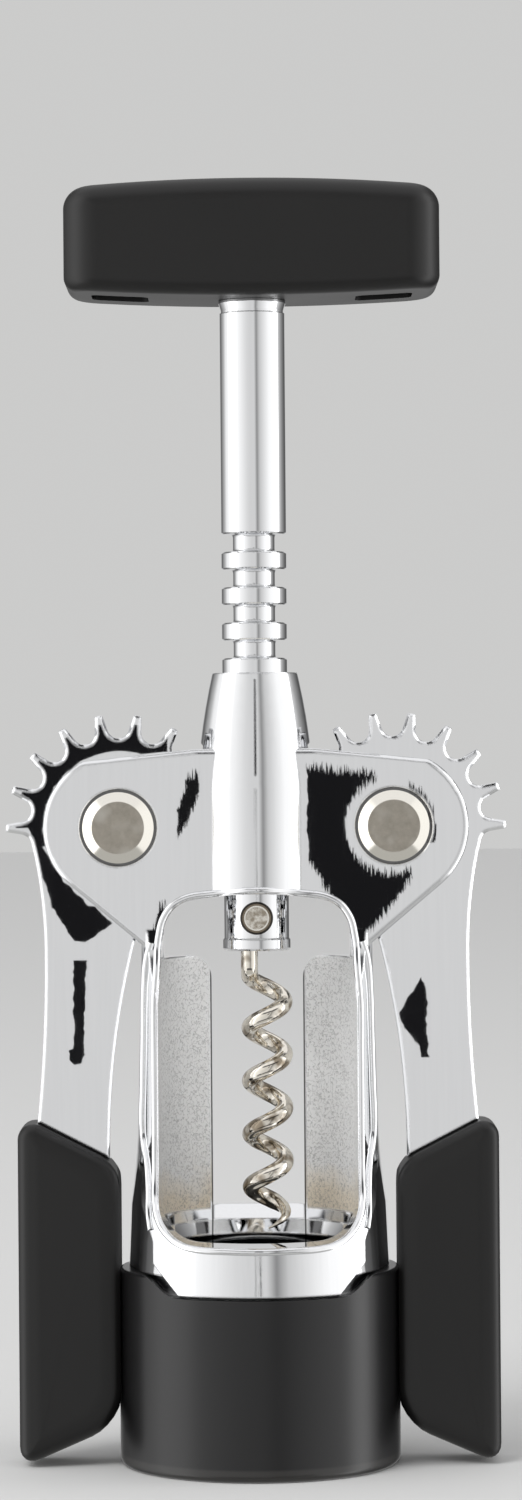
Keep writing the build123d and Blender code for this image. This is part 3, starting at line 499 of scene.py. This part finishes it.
# ---- guide bush ---------------------------------------------------------------------------
# A short tube of natural nylon is pressed into the neck, and the spindle slides through it. It
# is moulded, so its white is a little cloudy.
nylon_white, nylon_cloud = (0.74, 0.72, 0.66, 1), (0.64, 0.61, 0.54, 1)
nylon, tree, shader = new_material("nylon", roughness=0.38)
haze = noise(tree, object_spot(tree), 500.0, 3.0)
tree.links.new(mixed(tree, haze, nylon_white, nylon_cloud), shader.inputs["Base Color"])
dress(nylon, "guide_bush")

# ---- bell ---------------------------------------------------------------------------------
# A charcoal sleeve of satin ABS is slipped over the casting's skirt, and a liner of the same
# plastic is pushed up inside it to seat on the bottle. Its turned-out foot closes the joint.
sleeve_black, sleeve_cloud = (0.0035, 0.0033, 0.0037, 1), (0.0055, 0.0052, 0.0056, 1)
# the paler grey of the liner's foot is a painted highlight along the bell's bottom edge
foot_highlight_grey = (0.020, 0.019, 0.018, 1)
charcoal, tree, shader = new_material("charcoal_abs")
spot = object_spot(tree)
where = put(tree, "ShaderNodeSeparateXYZ", {0: spot})
clouds = noise(tree, spot, 60.0)
tint = mixed(tree, clouds, sleeve_black, sleeve_cloud)
# painted highlight: the lowest 2 mm of the liner are painted paler
paler_foot_highlight = stepped(tree, where.outputs["Z"], 2.1 * MM, 1.7 * MM)  # the liner's foot is a shade paler
tree.links.new(mixed(tree, paler_foot_highlight, tint, foot_highlight_grey), shader.inputs["Base Color"])
tree.links.new(maths(tree, "MULTIPLY_ADD", clouds, 0.08, 0.25), shader.inputs["Roughness"])
tree.links.new(bumped(tree, noise(tree, spot, 2600.0), 0.35, 0.008 * MM), shader.inputs["Normal"])
dress(charcoal, "bell_sleeve", "bell_liner")

# ---- wings --------------------------------------------------------------------------------
# Each wing is a flat die casting, chromed all over, with ten gear teeth round its head. Its
# edges are chamfered and polished until they are round and bright.
dress(plated("chromed_lever", edge_round)[0], "left_lever", "right_lever")

# ---- pivot pins ---------------------------------------------------------------------------
# A nickelled steel pin passes through each wing and both ear plates, and a cap is pressed on
# its tail. Heads and caps have a bright turned bevel round a dull, mottled face.
face_brown, face_grey = (0.31, 0.28, 0.235, 1), (0.60, 0.555, 0.48, 1)
blotch_grey, bevel_bright = (0.60, 0.57, 0.51, 1), (0.86, 0.83, 0.76, 1)
face_r = (3.82 * MM, 3.95 * MM)  # where the face ends, and where the bevel begins
pin_nickel, tree, shader = new_material("turned_nickel", metallic=1.0)
spot = object_spot(tree)
where = put(tree, "ShaderNodeSeparateXYZ", {0: spot})
across = maths(tree, "SUBTRACT", maths(tree, "ABSOLUTE", where.outputs["X"]), pivot_x)
up = maths(tree, "SUBTRACT", where.outputs["Z"], pivot_z)
reach = distance(tree, across, up)
bevel = stepped(tree, reach, *face_r)
mottle = noise(tree, spot, 900.0, 5.0, 0.65)
turned_rings = noise(tree, put(tree, "ShaderNodeCombineXYZ", {"X": reach}).outputs[0], 4200.0)
blotch = stepped(tree, noise(tree, spot, 260.0), 0.5, 0.7)
face = mixed(tree, blotch, mixed(tree, mottle, face_brown, face_grey), blotch_grey)
tree.links.new(mixed(tree, bevel, face, bevel_bright), shader.inputs["Base Color"])
face_roughness = maths(tree, "MULTIPLY_ADD", mottle, 0.25, 0.24)
roughness = put(tree, "ShaderNodeMix", {0: bevel, 2: face_roughness, 3: 0.12})
tree.links.new(roughness.outputs[0], shader.inputs["Roughness"])
relief = maths(tree, "MULTIPLY", maths(tree, "ADD", turned_rings, mottle), 0.5)
tree.links.new(bumped(tree, relief, 0.5, 0.012 * MM), shader.inputs["Normal"])
dress(pin_nickel, "left_pivot_pin", "right_pivot_pin", "left_pin_cap", "right_pin_cap")

# ---- grips --------------------------------------------------------------------------------
# A soft-touch grip is moulded over the tang of each wing. It is a fat blade with round edges:
# its top slopes in towards the cage, its heel is cut away and its inner side nests on the bell.
rubber_black, rubber_handled = (0.0016, 0.0014, 0.0013, 1), (0.0042, 0.0038, 0.0036, 1)
soft_touch, skin_out = new_skin("soft_touch_skin")
spot = object_spot(soft_touch)
handled = noise(soft_touch, spot, 45.0, 3.0)
soft_touch.links.new(
    mixed(soft_touch, handled, rubber_black, rubber_handled), skin_out.inputs["Colour"]
)
soft_touch.links.new(
    maths(soft_touch, "MULTIPLY_ADD", handled, 0.14, 0.36), skin_out.inputs["Roughness"]
)
soft_touch.links.new(
    bumped(soft_touch, noise(soft_touch, spot, 3200.0), 0.5, 0.012 * MM), skin_out.inputs["Normal"]
)


def soft_black(name):
    """A black rubber-coated material."""
    material, tree, shader = new_material(name)
    apply_skin(tree, shader, soft_touch)
    return material


grip_black = soft_black("grip_rubber")
# Sizes are in millimetres, for the right-hand grip.
grip_low, grip_high = Vector((20.4, -5.64, -0.2)), Vector((35.9, 5.64, 51.15))
top_slope = ((33.0, 51.15), (-0.457, 0.889))  # a point on the cut, and the way it faces
heel_cut = ((23.9, 5.0), (-0.3976, -0.9176))
grip_corners = (  # a corner's place and its radius
    ((20.4, 44.68), 3.4), ((35.9, 51.15), 2.3), ((35.9, -0.2), 3.3), ((20.4, 6.52), 5.2),
)
grip_edge = 1.8
crown_centre = (28.6, 26)
crown_steps = ((0.86, 1.030, 0.95), (0.82, 1.014, 0.93))  # narrower, thicker and shorter
bell_room_r = 21.3
tang_middle, tang_room = Vector((28.2, 0, 37)), Vector((6.04, 3.64, 46.04))


def select_only(mesh, kind, wanted):
    """In edit mode, select just the edges or faces that a test wants."""
    bpy.ops.mesh.select_mode(type=kind)
    bpy.ops.mesh.select_all(action="DESELECT")
    bpy.ops.object.mode_set(mode="OBJECT")
    for item in mesh.edges if kind == "EDGE" else mesh.polygons:
        item.select = wanted(item)
    bpy.ops.object.mode_set(mode="EDIT")


def ends(mesh, edge):
    """The places of an edge's two ends."""
    return [mesh.vertices[i].co for i in edge.vertices]


def at_corner(mesh, place):
    """A test for the edge that runs through the grip at a corner of its outline."""

    def wanted(edge):
        a, b = ends(mesh, edge)
        return abs(a.y - b.y) > 5 * MM and ((a + b) / 2 - place).length < 0.6 * MM

    return wanted


def on_outline(mesh):
    """A test for the edges of the grip's front and back faces."""

    def wanted(edge):
        a, b = ends(mesh, edge)
        return a.y * b.y > 0 and abs(a.y - b.y) < 0.01 * MM and abs(a.y) > 5 * MM

    return wanted


for side, hand in (("left", -1), ("right", 1)):
    bpy.ops.object.select_all(action="DESELECT")
    middle, size = (grip_low + grip_high) / 2, grip_high - grip_low
    bpy.ops.mesh.primitive_cube_add(
        size=1, location=(hand * middle.x * MM, 0, middle.z * MM), scale=size * MM
    )
    grip = bpy.context.object
    grip.name = f"{side}_grip_moulding"
    bpy.ops.object.transform_apply(location=True, rotation=True, scale=True)
    bpy.ops.object.mode_set(mode="EDIT")
    for (x, z), (across, up) in (top_slope, heel_cut):
        bpy.ops.mesh.select_all(action="SELECT")
        bpy.ops.mesh.bisect(
            plane_co=(hand * x * MM, 0, z * MM), plane_no=(hand * across, 0, up),
            use_fill=True, clear_outer=True,
        )
    for (x, z), radius in grip_corners:
        select_only(grip.data, "EDGE", at_corner(grip.data, Vector((hand * x, 0, z)) * MM))
        bpy.ops.mesh.bevel(offset=radius * MM, segments=6, affect="EDGES")
    select_only(grip.data, "EDGE", on_outline(grip.data))
    bpy.ops.mesh.bevel(offset=grip_edge * MM, segments=5, affect="EDGES")
    # both faces are crowned in two steps
    select_only(grip.data, "FACE", lambda face: abs(face.normal.y) > 0.99 and face.area > 90 * MM * MM)
    for step in crown_steps:
        bpy.ops.mesh.extrude_region()
        bpy.ops.transform.resize(
            value=step, center_override=(hand * crown_centre[0] * MM, 0, crown_centre[1] * MM)
        )
    bpy.ops.mesh.select_all(action="SELECT")
    bpy.ops.mesh.normals_make_consistent(inside=False)
    bpy.ops.object.mode_set(mode="OBJECT")
    # room for the bell beside it, and for the wing's tang in it
    bpy.ops.mesh.primitive_cylinder_add(
        vertices=160, radius=bell_room_r * MM, depth=60 * MM, location=(0, 0, 25 * MM)
    )
    bell_room = bpy.context.object
    bpy.ops.mesh.primitive_cube_add(
        size=1, location=(hand * tang_middle.x * MM, 0, tang_middle.z * MM), scale=tang_room * MM
    )
    for cutter in (bell_room, bpy.context.object):
        bpy.context.view_layer.objects.active = grip
        cut = grip.modifiers.new("cut", "BOOLEAN")
        cut.operation = "DIFFERENCE"
        cut.object = cutter
        bpy.ops.object.modifier_apply(modifier=cut.name)
        bpy.data.objects.remove(cutter)
    bpy.ops.object.select_all(action="DESELECT")
    grip.select_set(True)
    bpy.context.view_layer.objects.active = grip
    bpy.ops.object.shade_smooth_by_angle(angle=math.radians(35))
    even = grip.modifiers.new("even", "WEIGHTED_NORMAL")
    even.keep_sharp = True
    bpy.ops.object.modifier_apply(modifier=even.name)
    grip.data.materials.clear()
    grip.data.materials.append(grip_black)
    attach(grip, f"{side}_wing")
    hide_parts(f"{side}_grip")
bpy.ops.object.select_all(action="DESELECT")

# ---- spindle and worm ---------------------------------------------------------------------
# The spindle is a turned and chromed brass rod with ring-shaped rack teeth and a lipped holder
# at its foot. The wire worm's shank goes up into the holder, and a pin across holds it.
worm_pin_low, worm_pin_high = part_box("worm_pin")
worm_pin_z = (worm_pin_low[2] + worm_pin_high[2]) / 2


def from_worm_pin(tree, where):
    """How far a surface point lies from the worm pin's middle, seen along the pin."""
    up = maths(tree, "SUBTRACT", where.outputs["Z"], worm_pin_z)
    return distance(tree, where.outputs["X"], up)


spindle_chrome, tree, shader, skin = plated("chromed_spindle", 0.18 * MM)
where = put(tree, "ShaderNodeSeparateXYZ", {0: object_spot(tree)})
pin_hole_shade = all_of(  # painted shade round the pin, on the holder's front
    tree,
    maths(tree, "COMPARE", from_worm_pin(tree, where), 2.3 * MM, 0.16 * MM),
    stepped(tree, where.outputs["Y"], -3.0 * MM, -3.2 * MM),
)
# the dark ring round the pin's hole is painted shade
hole_shade_black = (0.05, 0.046, 0.04, 1)
tree.links.new(mixed(tree, pin_hole_shade, skin.outputs["Colour"], hole_shade_black), shader.inputs["Base Color"])
dress(spindle_chrome, "spindle")

wire_nickel, tree, shader = new_material("drawn_wire", metallic=1.0)
bright_wire, brown_film_and_dark_reflection = (0.87, 0.82, 0.73, 1), (0.30, 0.25, 0.19, 1)
# the brown patches, strewn by noise, are partly a film on the wire and partly painted dark reflection
cloud = noise(tree, object_spot(tree), 360.0)
tree.links.new(
    mixed(tree, stepped(tree, cloud, 0.50, 0.62), bright_wire, brown_film_and_dark_reflection), shader.inputs["Base Color"]
)
tree.links.new(maths(tree, "MULTIPLY_ADD", cloud, 0.08, 0.02), shader.inputs["Roughness"])
dress(wire_nickel, "worm")

# The pin's end is a dull mottled dish. The bright ring round it is a painted highlight on its lip, and
# the brown beyond is painted shade round its edge.
dish_brown, dish_bright = (0.40, 0.35, 0.28, 1), (0.86, 0.82, 0.74, 1)
edge_shade_brown, lip_highlight_bright = (0.24, 0.20, 0.15, 1), (0.95, 0.92, 0.85, 1)
stud, tree, shader = new_material("worm_pin_nickel", metallic=1.0)
spot = object_spot(tree)
reach = from_worm_pin(tree, put(tree, "ShaderNodeSeparateXYZ", {0: spot}))
mottle = noise(tree, spot, 1300.0, 4.0)
dish = mixed(tree, stepped(tree, mottle, 0.38, 0.62), dish_brown, dish_bright)
face = mixed(tree, stepped(tree, reach, 1.84 * MM, 1.90 * MM), dish, edge_shade_brown)
# painted highlight on the lip, and painted shade outside it
lip_highlight = maths(tree, "COMPARE", reach, 1.76 * MM, 0.10 * MM)
tree.links.new(mixed(tree, lip_highlight, face, lip_highlight_bright), shader.inputs["Base Color"])
tree.links.new(maths(tree, "MULTIPLY_ADD", mottle, 0.2, 0.1), shader.inputs["Roughness"])
dress(stud, "worm_pin")

# ---- handle -------------------------------------------------------------------------------
# Two black soft-touch shells meet at a parting line round a nylon core, which a socket screw
# and its washer hold down on the spindle's square. A thin chromed collar closes the underside.
dress(soft_black("handle_rubber"), "handle_lower", "handle_upper")
dress(plated("chromed_collar", 0.1 * MM)[0], "spindle_collar")

core_black, core_fleck = (0.018, 0.018, 0.019, 1), (0.036, 0.036, 0.037, 1)
core_nylon, tree, shader = new_material("black_nylon", roughness=0.5)
fleck = noise(tree, object_spot(tree), 700.0, 3.0)
tree.links.new(mixed(tree, fleck, core_black, core_fleck), shader.inputs["Base Color"])
dress(core_nylon, "handle_core")

steel_grey, steel_bright = (0.50, 0.50, 0.52, 1), (0.68, 0.68, 0.69, 1)
steel, tree, shader = new_material("zinc_steel", metallic=1.0)
crystals = put(tree, "ShaderNodeTexVoronoi", {"Vector": object_spot(tree), "Scale": 800.0})
spangle = crystals.outputs["Distance"]
tree.links.new(mixed(tree, spangle, steel_grey, steel_bright), shader.inputs["Base Color"])
tree.links.new(maths(tree, "MULTIPLY_ADD", spangle, 0.2, 0.22), shader.inputs["Roughness"])
dress(steel, "handle_screw", "handle_washer")
